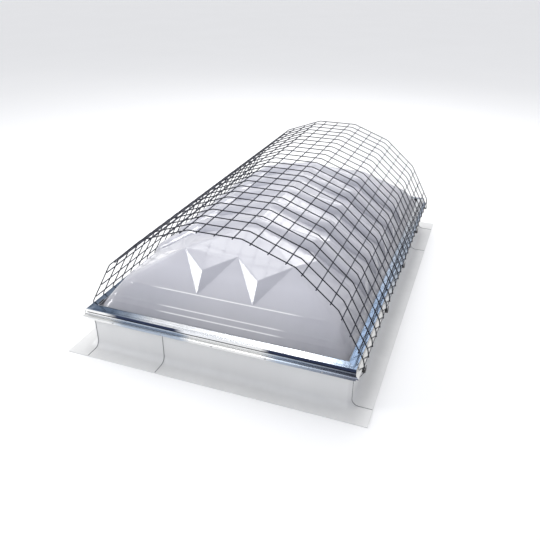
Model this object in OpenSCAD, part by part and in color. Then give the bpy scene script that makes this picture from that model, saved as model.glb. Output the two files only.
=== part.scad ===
// Roof skylight with a wire cage over the dome
//
// A clad and insulated upstand with a foot flange carries a two-part
// aluminium frame.  The frame clamps an opal dome of two skins, ribbed and
// folded for stiffness.  A welded wire mesh, bent to an arch, stands over it.
// Millimetres.  X is the short side, Y the long side, Z is up, and the
// underside of the foot flange lies on z = 0.

/* [Upstand] */
// Width over the cladding, short side
upstand_width = 1158; // [900:1:1500]
// Length over the cladding, long side
upstand_length = 1836; // [1400:1:2400]
// Height of the upstand to its top edge
upstand_height = 157; // [120:1:400]
// Wall of the upstand, cladding face to lining face
upstand_wall = 79; // [60:1:110]
// Reach of the foot flange beyond the wall
flange_reach = 85; // [50:1:150]
// Thickness of the cladding and of the lining
sheet = 3; // [2:0.5:4]
// Radius of the sweep between wall and flange
foot_radius = 30; // [8:1:40]
// Radius of the upright corners
corner_radius = 16; // [6:1:24]
// Place of the joint in the front cladding, from the middle
front_joint = -233; // [-350:1:350]
// Place of the joint in the right cladding, from the middle
side_joint = 576; // [-600:1:600]

/* [Dome] */
// Height from the frame up to the lower fold
crease_rise = 93; // [70:1:140]
// Height from the lower fold up to the shoulder
shoulder_rise = 130; // [90:1:180]
// Height from the shoulder up to the ridge
ridge_rise = 72; // [50:1:120]
// Width of the skirt slope on the long sides
skirt_side = 68; // [40:1:100]
// Width of the skirt slope at the ends
skirt_end = 97; // [50:1:140]
// Width of the upper slope on the long sides
slope_side = 237; // [180:1:280]
// Width of the upper slope at the ends
slope_end = 151; // [100:1:220]
// Distance from the shoulder to the end of the ridge
hip_end = 196; // [100:1:240]
// Folded bays along each long side
side_bays = 6; // [4:1:8]
// Folded bays across each end
end_bays = 2; // [2:1:3]
// Height of the raised ribs over the ridge and the lower fold
rib_height = 21; // [12:1:26]
// Height of the raised ribs at the shoulder
rib_shoulder = 52; // [26:1:60]
// Width of the raised ribs
rib_width = 96; // [60:1:120]
// Thickness of the outer skin
skin = 4; // [3:0.5:6]

/* [Cage] */
// Diameter of the cage wire
wire = 5; // [4:0.5:6]
// Spacing of the arched wires
wire_pitch = 75; // [50:1:150]
// Angle of each bend in the arched wires
bend = 20.3; // [17:0.1:22]
// Length of the upright foot of the arched wires
cage_foot = 37; // [30:1:60]
// Offset of the cage along the dome
cage_shift = 39; // [0:1:45]

/* [Frame] */
// Number of screws along a short side
screws_short = 5; // [2:1:8]
// Number of screws along a long side
screws_long = 8; // [2:1:12]
// Spacing of the cage clips
clip_pitch = 455; // [200:1:600]

/* [Hidden] */
$fn = 48;
hx = upstand_width / 2;
hy = upstand_length / 2;
gap = 0.3;
// Levels, all from the top of the upstand
lip_z = upstand_height - 15;
frame_z = upstand_height + 3;
nose_z = upstand_height + 2;
seal_z = upstand_height + 21;
inner_z = seal_z + 3;
outer_z = inner_z + 2.3;
clamp_z = outer_z + 3.3;
base_z = upstand_height + 38;
crease_z = base_z + crease_rise;
shoulder_z = crease_z + shoulder_rise;
ridge_z = shoulder_z + ridge_rise;
// Plan of the dome
base = [hx - 24, hy - 24];
crease = [base[0] - skirt_side, base[1] - skirt_end];
shoulder = [crease[0] - slope_side, crease[1] - slope_end];
ridge_y = shoulder[1] - hip_end;
bay = 2 * shoulder[1] / side_bays;
end_bay = 2 * shoulder[0] / end_bays;
// The cage
cage_x = hx + 30;
cage_z = upstand_height - 1;
run = 0.5 + cos(bend) + cos(2 * bend) + cos(3 * bend);
panel = (cage_x - cage_foot * cos(4 * bend)) / run;
rise = sin(bend) + sin(2 * bend) + sin(3 * bend);
cage_top = cage_z + cage_foot * sin(4 * bend) + panel * rise;
spans = floor(upstand_length / wire_pitch);
cage_y0 = cage_shift - spans * wire_pitch / 2;
cage_y1 = cage_y0 + spans * wire_pitch;

grey = [0.78, 0.80, 0.82];
alu = [0.86, 0.87, 0.88];
opal = [0.96, 0.97, 0.98];
black = [0.09, 0.09, 0.10];
steel = [0.30, 0.31, 0.33];

function corner_x(n) = n == 0 ? panel / 2 : corner_x(n - 1) + panel * cos(n * bend);
function corner_z(n) = n == 0 ? cage_top : corner_z(n - 1) - panel * sin(n * bend);
function clip_y(i) = min(cage_y0 + i * clip_pitch, hy - 25);

// ---- helpers -------------------------------------------------------------

// A block with rounded uprights, standing on z = 0
module post(x, y, r, h) {
    translate([-x + r, -y, 0])
        cube([2 * (x - r), 2 * y, h]);
    translate([-x, -y + r, 0])
        cube([2 * x, 2 * (y - r), h]);
    for (i = [-1, 1])
        for (j = [-1, 1])
            translate([i * (x - r), j * (y - r), 0])
                cylinder(r = r, h = h);
}

module sweep_section() {
    difference() {
        square([foot_radius, foot_radius]);
        translate([foot_radius, foot_radius])
            circle(r = foot_radius);
    }
}

// A length of the sweep at the foot, along X, facing -Y
module sweep_run(half, at) {
    translate([-half, -at, sheet])
        rotate([90, 0, 90])
            linear_extrude(2 * half)
                mirror([1, 0])
                    sweep_section();
}

// Cladding all round, before it is cut into sheets
module cladding() {
    difference() {
        union() {
            post(hx, hy, corner_radius, upstand_height);
            translate([-hx - flange_reach, -hy - flange_reach, 0])
                cube([2 * (hx + flange_reach), 2 * (hy + flange_reach), sheet]);
            for (a = [0, 180])
                rotate([0, 0, a])
                    sweep_run(hx - corner_radius, hy);
            for (a = [90, 270])
                rotate([0, 0, a])
                    sweep_run(hy - corner_radius, hx);
            for (q = [[1, -1, -90], [1, 1, 0], [-1, 1, 90], [-1, -1, 180]])
                translate([q[0] * (hx - corner_radius), q[1] * (hy - corner_radius), sheet])
                    rotate([0, 0, q[2]])
                        rotate_extrude(angle = 90)
                            translate([corner_radius, 0])
                                sweep_section();
        }
        translate([0, 0, -1])
            post(hx - sheet, hy - sheet, corner_radius - sheet, upstand_height + 2);
    }
}

// One sheet of it, between two X and two Y places
module sheet_between(x0, x1, y0, y1) {
    intersection() {
        cladding();
        translate([x0, y0, -1])
            cube([x1 - x0, y1 - y0, upstand_height + 2]);
    }
}

// A bar along X at -Y, its section in (outward, up), cut to mitres
module mitred(half, at, slack) {
    intersection() {
        translate([-half - 60, -at, 0])
            rotate([90, 0, 90])
                linear_extrude(2 * half + 120)
                    mirror([1, 0])
                        children();
        translate([0, -at, 0])
            linear_extrude(seal_z + 60)
                polygon([
                    [-half - 60 + slack, -60], [half + 60 - slack, -60],
                    [half - 80 - slack, 80], [-half + 80 + slack, 80]
                ]);
    }
}

module frame_section() {
    polygon([
        [-60, frame_z], [10, frame_z], [10, lip_z], [13, lip_z],
        [13, lip_z + 13.5], [11.8, lip_z + 14], [11.8, lip_z + 15.5], [13, lip_z + 16],
        [13, nose_z], [25, nose_z], [26, nose_z + 1], [26, nose_z + 3],
        [25, nose_z + 4], [13, nose_z + 8], [13, seal_z], [-30, seal_z],
        [-30, frame_z + 4], [-60, frame_z + 4]
    ]);
}

module clamp_section() {
    polygon([
        [13, seal_z + 4], [13, seal_z + 16], [12, seal_z + 17],
        [6.5, seal_z + 17.4], [6.5, seal_z + 16.4], [5.3, seal_z + 16.4], [5.3, seal_z + 17.5],
        [2, seal_z + 17.8], [2, seal_z + 16.8], [0.8, seal_z + 16.8], [0.8, seal_z + 17.9],
        [-23, seal_z + 20.6], [-24.6, seal_z + 20], [-14.5, clamp_z], [9.5, clamp_z],
        [9.5, seal_z + 4]
    ]);
}

module bead_section() {
    polygon([
        [-22.9, seal_z + 17.6], [-23.8, seal_z + 17.2], [-26.6, seal_z + 21.2],
        [-25.6, seal_z + 22.4], [-23.4, seal_z + 22.2], [-23.2, seal_z + 21.0],
        [-25.0, seal_z + 20.3]
    ]);
}

// A flat ring between two distances from the cladding face
module ring(out, in, z, h) {
    difference() {
        translate([-hx - out, -hy - out, z])
            cube([2 * (hx + out), 2 * (hy + out), h]);
        translate([-hx - in, -hy - in, z - 1])
            cube([2 * (hx + in), 2 * (hy + in), h + 2]);
    }
}

// A block with four sloping sides, given by half sizes below and above
module frustum(low, high, z, h) {
    polyhedron(
        points = [
            [-low[0], -low[1], z], [low[0], -low[1], z],
            [low[0], low[1], z], [-low[0], low[1], z],
            [-high[0], -high[1], z + h], [high[0], -high[1], z + h],
            [high[0], high[1], z + h], [-high[0], high[1], z + h]
        ],
        faces = [
            [0, 1, 2, 3], [7, 6, 5, 4], [1, 0, 4, 5],
            [2, 1, 5, 6], [3, 2, 6, 7], [0, 3, 7, 4]
        ]
    );
}

// The hipped top between the shoulder and the ridge
module hipped(low, half_ridge, z, h) {
    polyhedron(
        points = [
            [-low[0], -low[1], z], [low[0], -low[1], z],
            [low[0], low[1], z], [-low[0], low[1], z],
            [0, -half_ridge, z + h], [0, half_ridge, z + h]
        ],
        faces = [[0, 1, 2, 3], [1, 0, 4], [3, 2, 5], [2, 1, 4, 5], [0, 3, 5, 4]]
    );
}

// The body of a dome skin, drawn in by a distance and dropped by another
module dome_body(draw, drop) {
    low = [base[0] - draw, base[1] - draw];
    mid = [crease[0] - draw, crease[1] - draw];
    top = [shoulder[0] - draw, shoulder[1] - draw];
    foot = base_z - outer_z;
    grow = [
        low[0] + foot * skirt_side / crease_rise,
        low[1] + foot * skirt_end / crease_rise
    ];
    frustum(grow, mid, outer_z - drop, crease_z - outer_z);
    frustum(mid, top, crease_z - drop, shoulder_rise);
    hipped(top, ridge_y, shoulder_z - drop, ridge_rise);
}

// A three-sided pyramid on a slope: two top corners, a foot and the apex
module pyramid(p, q, b, a) {
    d = (p + q + b) / 3 - [0, 0, 6] - (a - (p + q + b) / 3) * 0.2;
    polyhedron(
        points = [p, q, b, a, d],
        faces = [[1, 0, 3], [2, 1, 3], [0, 2, 3], [0, 1, 4], [1, 2, 4], [2, 0, 4]]
    );
}

module side_pyramids() {
    for (i = [0 : side_bays - 1]) {
        y = -shoulder[1] + (i + 0.5) * bay;
        pyramid(
            [shoulder[0], y + bay / 2, shoulder_z],
            [shoulder[0], y - bay / 2, shoulder_z],
            [crease[0], y, crease_z],
            [shoulder[0] + 0.27 * slope_side, y, shoulder_z - 0.1 * shoulder_rise]
        );
    }
}

module end_pyramids() {
    for (i = [0 : end_bays - 1]) {
        x = -shoulder[0] + (i + 0.5) * end_bay;
        pyramid(
            [x + end_bay / 2, -shoulder[1], shoulder_z],
            [x - end_bay / 2, -shoulder[1], shoulder_z],
            [x, -crease[1], crease_z],
            [x, -shoulder[1] - 0.6 * slope_end, shoulder_z - 0.33 * shoulder_rise]
        );
    }
}

module rib_knob(x, z, high, wide) {
    translate([x, 0, z])
        scale([high * 0.9, rib_width / 2 * wide, high])
            sphere(r = 1, $fn = 16);
}

module rib_leg() {
    knee = [shoulder[0] + 30, shoulder_z - 30 * shoulder_rise / slope_side];
    tip = [crease[0] + 0.48 * skirt_side, crease_z - 0.48 * crease_rise];
    hull() {
        rib_knob(0, ridge_z, rib_height, 1);
        rib_knob(knee[0], knee[1], rib_shoulder, 1);
    }
    hull() {
        rib_knob(knee[0], knee[1], rib_shoulder, 1);
        rib_knob(crease[0], crease_z, rib_height, 1);
    }
    hull() {
        rib_knob(crease[0], crease_z, rib_height, 1);
        rib_knob(tip[0], tip[1], 0.75 * rib_height, 0.8);
    }
}

// Wires of one flat of the cage, lying along X and Y about the origin
module wire_panel(length) {
    for (k = [0 : spans])
        translate([0, cage_y0 + k * wire_pitch, 0])
            rotate([0, 90, 0])
                cylinder(d = wire, h = length - 1.2, center = true);
    for (j = [-1, 0, 1])
        translate([j * length / 3, cage_y1 + 4, -wire - gap])
            rotate([90, 0, 0])
                cylinder(d = wire, h = cage_y1 - cage_y0 + 8);
}

// Flat number n of the cage, counted from the top
module cage_flat(n) {
    x = n == 0 ? 0 : (corner_x(n - 1) + corner_x(n)) / 2;
    z = n == 0 ? cage_top : (corner_z(n - 1) + corner_z(n)) / 2;
    translate([x, 0, z])
        rotate([0, n * bend, 0])
            wire_panel(panel);
}

// The upright feet of the arched wires and their edge wire
module cage_feet() {
    for (k = [0 : spans])
        translate([cage_x, cage_y0 + k * wire_pitch, cage_z])
            rotate([0, 4 * bend - 90, 0])
                cylinder(d = wire, h = cage_foot - 1.2);
    translate([cage_x - wire - gap, cage_y1 + 4, cage_z])
        rotate([90, 0, 0])
            cylinder(d = wire, h = cage_y1 - cage_y0 + 8);
}

// A clip that holds the edge wire under the nose of the frame
module clip_right(y) {
    translate([hx + 13 + gap, y - 10, lip_z + 1])
        cube([2.5, 20, 12]);
    translate([hx + 13 + gap, y - 10, lip_z + 1])
        cube([23, 20, 2.5]);
    translate([hx + 33.5 + gap, y - 10, lip_z + 1])
        cube([2.5, 20, 24]);
}

// A pan-head screw on the face of the frame, pointing to -Y
module face_screw(x, at) {
    translate([x, -at - 13 - gap, lip_z + 8])
        rotate([90, 0, 0])
            cylinder(d1 = 9, d2 = 6.5, h = 2.6);
}

module screw_row(count, half, at) {
    for (i = [0 : count - 1])
        face_screw((i - (count - 1) / 2) * 2 * half / count, at);
}

module core_block(x0, x1, y0, y1) {
    intersection() {
        translate([x0, y0, 0])
            cube([x1 - x0, y1 - y0, upstand_height]);
        post(hx - sheet, hy - sheet, corner_radius - sheet + 1, upstand_height);
    }
}

// ---- upstand -------------------------------------------------------------

module cladding_front_left() {
    color(grey)
        sheet_between(-hx + corner_radius + gap, front_joint - gap,
            -hy - flange_reach - 1, -hy + corner_radius);
}

module cladding_front() {
    color(grey)
        sheet_between(front_joint + gap, hx + flange_reach + 1,
            -hy - flange_reach - 1, -hy + corner_radius - gap);
}

module cladding_right() {
    color(grey)
        sheet_between(hx - corner_radius, hx + flange_reach + 1,
            -hy + corner_radius + gap, side_joint - gap);
}

module cladding_right_rear() {
    color(grey)
        sheet_between(hx - corner_radius, hx + flange_reach + 1,
            side_joint + gap, hy - corner_radius - gap);
}

module cladding_back() {
    color(grey)
        sheet_between(-hx - flange_reach - 1, hx + flange_reach + 1,
            hy - corner_radius + gap, hy + flange_reach + 1);
}

module cladding_left() {
    color(grey)
        sheet_between(-hx - flange_reach - 1, -hx + corner_radius - gap,
            -hy - flange_reach - 1, hy - corner_radius - gap);
}

module core_front() {
    color([0.90, 0.87, 0.78])
        core_block(-hx, hx, -hy, -hy + upstand_wall - sheet - gap);
}

module core_back() {
    color([0.90, 0.87, 0.78])
        core_block(-hx, hx, hy - upstand_wall + sheet + gap, hy);
}

module core_right() {
    color([0.90, 0.87, 0.78])
        core_block(hx - upstand_wall + sheet + gap, hx,
            -hy + upstand_wall - sheet, hy - upstand_wall + sheet);
}

module core_left() {
    color([0.90, 0.87, 0.78])
        core_block(-hx, -hx + upstand_wall - sheet - gap,
            -hy + upstand_wall - sheet, hy - upstand_wall + sheet);
}

module lining_front() {
    color([0.93, 0.93, 0.92])
        translate([-hx + upstand_wall - sheet, -hy + upstand_wall - sheet, 0])
            cube([2 * (hx - upstand_wall + sheet), sheet, upstand_height]);
}

module lining_back() {
    color([0.93, 0.93, 0.92])
        translate([-hx + upstand_wall - sheet, hy - upstand_wall, 0])
            cube([2 * (hx - upstand_wall + sheet), sheet, upstand_height]);
}

module lining_right() {
    color([0.93, 0.93, 0.92])
        translate([hx - upstand_wall, -hy + upstand_wall + gap, 0])
            cube([sheet, 2 * (hy - upstand_wall - gap), upstand_height]);
}

module lining_left() {
    color([0.93, 0.93, 0.92])
        translate([-hx + upstand_wall - sheet, -hy + upstand_wall + gap, 0])
            cube([sheet, 2 * (hy - upstand_wall - gap), upstand_height]);
}

module upstand_gasket() {
    color(black)
        ring(-1, -60, upstand_height, 3);
}

// ---- frame ---------------------------------------------------------------

module frame_front() {
    color(alu)
        mitred(hx, hy, gap / 2)
            frame_section();
}

module frame_back() {
    color(alu)
        rotate([0, 0, 180])
            mitred(hx, hy, gap / 2)
                frame_section();
}

module frame_right() {
    color(alu)
        rotate([0, 0, 90])
            mitred(hy, hx, gap / 2)
                frame_section();
}

module frame_left() {
    color(alu)
        rotate([0, 0, 270])
            mitred(hy, hx, gap / 2)
                frame_section();
}

module dome_seal() {
    color(black)
        ring(9, -28, seal_z, 3);
}

module clamp_front() {
    color(alu)
        mitred(hx, hy, gap / 2)
            clamp_section();
}

module clamp_back() {
    color(alu)
        rotate([0, 0, 180])
            mitred(hx, hy, gap / 2)
                clamp_section();
}

module clamp_right() {
    color(alu)
        rotate([0, 0, 90])
            mitred(hy, hx, gap / 2)
                clamp_section();
}

module clamp_left() {
    color(alu)
        rotate([0, 0, 270])
            mitred(hy, hx, gap / 2)
                clamp_section();
}

module clamp_gasket() {
    color(black) {
        mitred(hx, hy, 0)
            bead_section();
        rotate([0, 0, 90])
            mitred(hy, hx, 0)
                bead_section();
        rotate([0, 0, 180])
            mitred(hx, hy, 0)
                bead_section();
        rotate([0, 0, 270])
            mitred(hy, hx, 0)
                bead_section();
    }
}

module gasket_plug() {
    color(black)
        translate([-hx + 20, -hy + 33, seal_z + 20.9])
            cube([3, 37, 4]);
}

module frame_screws() {
    color(steel) {
        screw_row(screws_short, hx, hy);
        rotate([0, 0, 180])
            screw_row(screws_short, hx, hy);
        rotate([0, 0, 90])
            screw_row(screws_long, hy, hx);
        rotate([0, 0, 270])
            screw_row(screws_long, hy, hx);
    }
}

// ---- dome ----------------------------------------------------------------

module dome_outer() {
    color(opal)
        difference() {
            union() {
                dome_body(0, 0);
                ring(8, -30, outer_z, 3);
                side_pyramids();
                mirror([1, 0, 0])
                    side_pyramids();
                end_pyramids();
                mirror([0, 1, 0])
                    end_pyramids();
                for (i = [1 : side_bays - 1])
                    translate([0, -shoulder[1] + i * bay, 0]) {
                        rib_leg();
                        mirror([1, 0, 0])
                            rib_leg();
                    }
            }
            dome_body(skin + 2, skin);
        }
}

module dome_inner() {
    color([0.90, 0.91, 0.92])
        difference() {
            union() {
                dome_body(24, outer_z - inner_z + 18);
                ring(8, -60, inner_z, 2);
            }
            dome_body(28, outer_z - inner_z + 20);
            translate([-hx, -hy, inner_z - 40])
                cube([2 * hx, 2 * hy, 40]);
        }
}

// ---- cage ----------------------------------------------------------------

module cage_top_flat() {
    color(steel)
        cage_flat(0);
}

module cage_upper_right() {
    color(steel)
        cage_flat(1);
}

module cage_middle_right() {
    color(steel)
        cage_flat(2);
}

module cage_lower_right() {
    color(steel)
        cage_flat(3);
}

module cage_feet_right() {
    color(steel)
        cage_feet();
}

module cage_upper_left() {
    color(steel)
        mirror([1, 0, 0])
            cage_flat(1);
}

module cage_middle_left() {
    color(steel)
        mirror([1, 0, 0])
            cage_flat(2);
}

module cage_lower_left() {
    color(steel)
        mirror([1, 0, 0])
            cage_flat(3);
}

module cage_feet_left() {
    color(steel)
        mirror([1, 0, 0])
            cage_feet();
}

module cage_clips_right() {
    color(black)
        for (i = [0 : ceil(spans * wire_pitch / clip_pitch)])
            clip_right(clip_y(i));
}

module cage_clips_left() {
    color(black)
        mirror([1, 0, 0])
            for (i = [0 : ceil(spans * wire_pitch / clip_pitch)])
                clip_right(clip_y(i));
}

// ---- output --------------------------------------------------------------

cladding_front_left();
cladding_front();
cladding_right();
cladding_right_rear();
cladding_back();
cladding_left();
core_front();
core_back();
core_right();
core_left();
lining_front();
lining_back();
lining_right();
lining_left();
upstand_gasket();
frame_front();
frame_back();
frame_right();
frame_left();
dome_seal();
clamp_front();
clamp_back();
clamp_right();
clamp_left();
clamp_gasket();
gasket_plug();
frame_screws();
dome_outer();
dome_inner();
cage_top_flat();
cage_upper_right();
cage_middle_right();
cage_lower_right();
cage_feet_right();
cage_upper_left();
cage_middle_left();
cage_lower_left();
cage_feet_left();
cage_clips_right();
cage_clips_left();
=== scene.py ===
import math

import bmesh
import bpy
import numpy as np
from bpy.props import FloatProperty, FloatVectorProperty, IntProperty, PointerProperty
from mathutils import Matrix, Vector
from mathutils.geometry import delaunay_2d_cdt


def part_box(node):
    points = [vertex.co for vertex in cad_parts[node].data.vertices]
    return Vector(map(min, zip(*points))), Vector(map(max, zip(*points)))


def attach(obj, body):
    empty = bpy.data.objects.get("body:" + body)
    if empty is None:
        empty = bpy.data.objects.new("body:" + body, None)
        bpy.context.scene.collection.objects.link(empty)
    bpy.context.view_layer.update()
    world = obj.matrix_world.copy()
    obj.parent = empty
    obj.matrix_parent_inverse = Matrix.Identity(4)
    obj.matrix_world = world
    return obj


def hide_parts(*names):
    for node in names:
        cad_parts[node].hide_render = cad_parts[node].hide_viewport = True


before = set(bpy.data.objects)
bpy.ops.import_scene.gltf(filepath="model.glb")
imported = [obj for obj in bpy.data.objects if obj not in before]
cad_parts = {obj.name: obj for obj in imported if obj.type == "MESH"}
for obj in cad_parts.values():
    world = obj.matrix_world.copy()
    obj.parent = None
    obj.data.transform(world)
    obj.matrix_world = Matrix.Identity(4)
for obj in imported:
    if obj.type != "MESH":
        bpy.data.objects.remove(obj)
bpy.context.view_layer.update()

bl_info = {
    "name": "Roof skylight",
    "version": (1, 0, 0),
    "blender": (4, 5, 0),
    "location": "3D View > Sidebar > Skylight",
    "description": "Builds the pieces and finishes of a domed roof skylight under a wire mesh",
    "category": "Add Mesh",
}

# Sizes of the frame that the pieces line up with, in metres.
BAR_REACH = 0.013  # from a wall's outer face to the bars' outer edge
WALL_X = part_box("clamp_right")[1].x - BAR_REACH
WALL_Y = -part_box("clamp_front")[0].y - BAR_REACH
UPSTAND_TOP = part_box("upstand_gasket")[0].z
SHEET = 0.003  # thickness of the cladding
FOOT_SWEEP = 0.030  # radius between wall and flange
BAR_EDGE_LEVEL = UPSTAND_TOP + 0.0225  # where the lower bar meets the upper one
BAR_TOP_LEVEL = UPSTAND_TOP + 0.0372  # where the upper bar turns to its top face
CAGE_NODES = [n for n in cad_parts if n.startswith("cage_") and "clips" not in n]

# Sizes of the outer skin, in millimetres. A pair is for the long sides, then for the ends.
RIM_RISE = 38  # from the top of the upstand to the foot of the skirt
RIM_INSET = 24  # from a wall's outer face to the foot of the skirt
RIM_THICKNESS = 3.0
RIM_GAP = 0.3
SKIRT_RUN = (68, 97)
SLOPE_RUN = (237, 151)
HIP_RUN = 196  # from the end of the shoulder to the end of the ridge
FOLD_APEX = ((0.27, 0.10), (0.6, 0.33))  # place of a fold's apex down the slope, and its drop, as shares
RIB_CREST = ((0, 21), (30, 36), (13, 18), (41, -26))  # out and up from ridge, shoulder, fold, fold
RIB_TIP = 26.0  # length of a rib's rounded end
LEDGE_DROPS = (50, 68)  # of the two fine ledges, below the lower fold
LEDGE_WIDTH = 2.6


# ---- settings ------------------------------------------------------------


def length(name, description, default):
    return FloatProperty(name=name, description=description, default=default, unit="LENGTH")


def colour(name, description, default):
    return FloatVectorProperty(
        name=name, description=description, default=default, subtype="COLOR", size=3
    )


class SkylightDomeSettings(bpy.types.PropertyGroup):
    """Sizes of the moulded outer skin."""

    fold_rise: length("Lower fold rise", "Height of the skirt", 0.093)
    shoulder_rise: length("Shoulder rise", "Height of the upper slope", 0.130)
    ridge_rise: length("Ridge rise", "Height of the top over the shoulder", 0.072)
    side_bays: IntProperty(name="Side bays", description="Folded bays on a long side", default=6)
    end_bays: IntProperty(name="End bays", description="Folded bays across an end", default=2)
    rib_width: length("Rib width", "Width of a raised rib", 0.096)
    hip_softness: length("Hip softness", "How far the four hips are rounded off", 0.080)
    skin: length("Skin", "Thickness of the outer skin", 0.004)
    step: length("Mesh step", "Spacing of the surface points", 0.014)


class SkylightCageSettings(bpy.types.PropertyGroup):
    """Sizes of the bent wire mesh."""

    spacing: length("Wire spacing", "Distance from wire to wire", 0.075)
    bend: FloatProperty(
        name="Bend", description="Angle of each bend", default=math.radians(20.3), subtype="ANGLE"
    )
    bend_radius: length("Bend radius", "Radius of each bend", 0.045)
    foot: length("Foot", "Length of the upright foot", 0.037)


class SkylightFinishSettings(bpy.types.PropertyGroup):
    """Colours of the finishes."""

    cladding: colour("Cladding", "Coated sheet", (0.76, 0.76, 0.755))
    opal: colour("Opal", "Moulded dome", (0.64, 0.64, 0.70))
    aluminium: colour("Aluminium", "Extruded bars", (0.84, 0.86, 0.89))
    wire: colour("Wire", "Welded mesh", (0.03, 0.033, 0.045))


class SkylightStageSettings(bpy.types.PropertyGroup):
    """Floor and light."""

    floor: colour("Floor", "Floor colour", (0.97, 0.97, 0.97))
    key: FloatProperty(name="Key light", description="Strength of the light on the left", default=45.0)
    top: FloatProperty(name="Top light", description="Strength of the light above", default=64.0)
    back: FloatProperty(name="Back light", description="Strength of the light behind", default=44.0)
    fill: FloatProperty(name="Surround", description="Strength of the surround", default=1.08)


# ---- node helpers --------------------------------------------------------


def add(t, kind, inputs=None, **settings):
    """Adds a node with its own settings; an input takes a value or the socket that feeds it."""
    node = t.nodes.new(kind)
    for name, value in settings.items():
        setattr(node, name, value)
    for name, value in (inputs or {}).items():
        if isinstance(value, bpy.types.NodeSocket):
            t.links.new(value, node.inputs[name])
        else:
            node.inputs[name].default_value = value
    return node


def maths(t, operation, *values):
    return add(t, "ShaderNodeMath", dict(enumerate(values)), operation=operation).outputs[0]


def mixed(t, factor, a, b, **settings):
    """Colour b over colour a by a factor."""
    inputs = {"Factor": factor, "A": a, "B": b}
    return add(t, "ShaderNodeMix", inputs, data_type="RGBA", **settings).outputs["Result"]


def place_of(t):
    """The point of the surface, in the object's own coordinates."""
    return add(t, "ShaderNodeTexCoord").outputs["Object"]


def part_of(t, vector, axis):
    return add(t, "ShaderNodeSeparateXYZ", {0: vector}).outputs[axis]


def ramp(t, factor, stops):
    """A colour ramp from (place, colour) stops."""
    node = add(t, "ShaderNodeValToRGB", {"Fac": factor})
    elements = node.color_ramp.elements
    elements[0].position = stops[0][0]
    elements[1].position = stops[-1][0]
    for place, _ in stops[1:-1]:
        elements.new(place)
    for element, (_, shade) in zip(elements, stops):
        element.color = (*shade, 1)
    return node.outputs["Color"]


def use(t, group, **inputs):
    """Uses a shader group and gives its one output; underscores in the names stand for spaces."""
    named = {name.replace("_", " "): value for name, value in inputs.items()}
    return add(t, "ShaderNodeGroup", named, node_tree=group()).outputs[0]


def shader_group(name, inputs, output, kind):
    """Makes a shader group once, from its inputs and the function that builds its one output."""

    def wrap(build):
        def get():
            found = bpy.data.node_groups.get(name)
            if found:
                return found
            t = bpy.data.node_groups.new(name, "ShaderNodeTree")
            for label, value in inputs.items():
                socket = "NodeSocketVector" if isinstance(value, tuple) else "NodeSocketFloat"
                t.interface.new_socket(
                    name=label, in_out="INPUT", socket_type=socket
                ).default_value = value
            t.interface.new_socket(name=output, in_out="OUTPUT", socket_type=kind)
            given = t.nodes.new("NodeGroupInput").outputs
            add(t, "NodeGroupOutput", {output: build(t, given)})
            return t

        return get

    return wrap


# ---- shader groups -------------------------------------------------------


@shader_group(
    "Surface variation",
    {"Stretch": (1.0, 1.0, 1.0), "Scale": 5.0, "Detail": 4.0, "Low": 0.0, "High": 1.0},
    "Value",
    "NodeSocketFloat",
)
def variation_group(t, given):
    """Soft variation over a surface: noise on stretched object coordinates, between two values."""
    place = add(
        t, "ShaderNodeVectorMath", {0: place_of(t), 1: given["Stretch"]}, operation="MULTIPLY"
    ).outputs[0]
    noise = add(
        t, "ShaderNodeTexNoise", {"Vector": place, "Scale": given["Scale"], "Detail": given["Detail"]}
    ).outputs["Fac"]
    ends = {"From Min": 0.3, "From Max": 0.7, "To Min": given["Low"], "To Max": given["High"]}
    return add(t, "ShaderNodeMapRange", {"Value": noise, **ends}).outputs["Result"]


@shader_group(
    "Fine relief",
    {"Stretch": (1.0, 1.0, 1.0), "Scale": 60.0, "Strength": 0.1, "Depth": 0.001},
    "Normal",
    "NodeSocketVector",
)
def relief_group(t, given):
    """A fine relief: noise on stretched object coordinates turned into a normal."""
    noise = use(t, variation_group, Stretch=given["Stretch"], Scale=given["Scale"])
    bump = {"Height": noise, "Strength": given["Strength"], "Distance": given["Depth"]}
    return add(t, "ShaderNodeBump", bump).outputs["Normal"]


@shader_group(
    "Low dirt and painted shade",
    {"Bottom": 0.0, "Top": 0.1, "Amount": 0.5, "Evenness": 0.0},
    "Mask",
    "NodeSocketFloat",
)
def low_dirt_and_shade_group(t, given):
    """Darkening low down on an upright surface, from patchy to even: dirt on the cladding, painted shade on
    the dome skin and the long wires.
    """
    patches = use(t, variation_group, Stretch=(1.0, 1.0, 0.25), Scale=22.0, Low=given["Evenness"])
    level = {"Value": part_of(t, place_of(t), "Z"), "From Min": given["Top"], "From Max": given["Bottom"]}
    low = add(t, "ShaderNodeMapRange", level).outputs["Result"]
    return maths(t, "MULTIPLY", maths(t, "MULTIPLY", low, patches), given["Amount"])


@shader_group(
    "Painted fold highlights",
    {"Level": 0.3, "Half width": 0.0015, "Reach": 0.3, "Amount": 0.8},
    "Mask",
    "NodeSocketFloat",
)
def painted_glints_group(t, given):
    """A thin painted highlight at one level, along the middle of each end of the skin."""
    place = place_of(t)
    off = maths(t, "ABSOLUTE", maths(t, "SUBTRACT", part_of(t, place, "Z"), given["Level"]))
    line = maths(t, "MAXIMUM", maths(t, "SUBTRACT", 1.0, maths(t, "DIVIDE", off, given["Half width"])), 0)
    away = maths(t, "DIVIDE", maths(t, "ABSOLUTE", part_of(t, place, "X")), given["Reach"])
    fade = {"Value": away, "From Min": 1.0, "From Max": 0.75}
    middle = add(t, "ShaderNodeMapRange", fade, interpolation_type="SMOOTHSTEP").outputs["Result"]
    end_from = WALL_Y - (RIM_INSET + SKIRT_RUN[1] + 14) / 1000  # a little inside the lower fold
    end = maths(t, "GREATER_THAN", maths(t, "ABSOLUTE", part_of(t, place, "Y")), end_from)
    mask = maths(t, "MULTIPLY", maths(t, "MULTIPLY", line, middle), end)
    return maths(t, "MULTIPLY", mask, given["Amount"])


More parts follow.
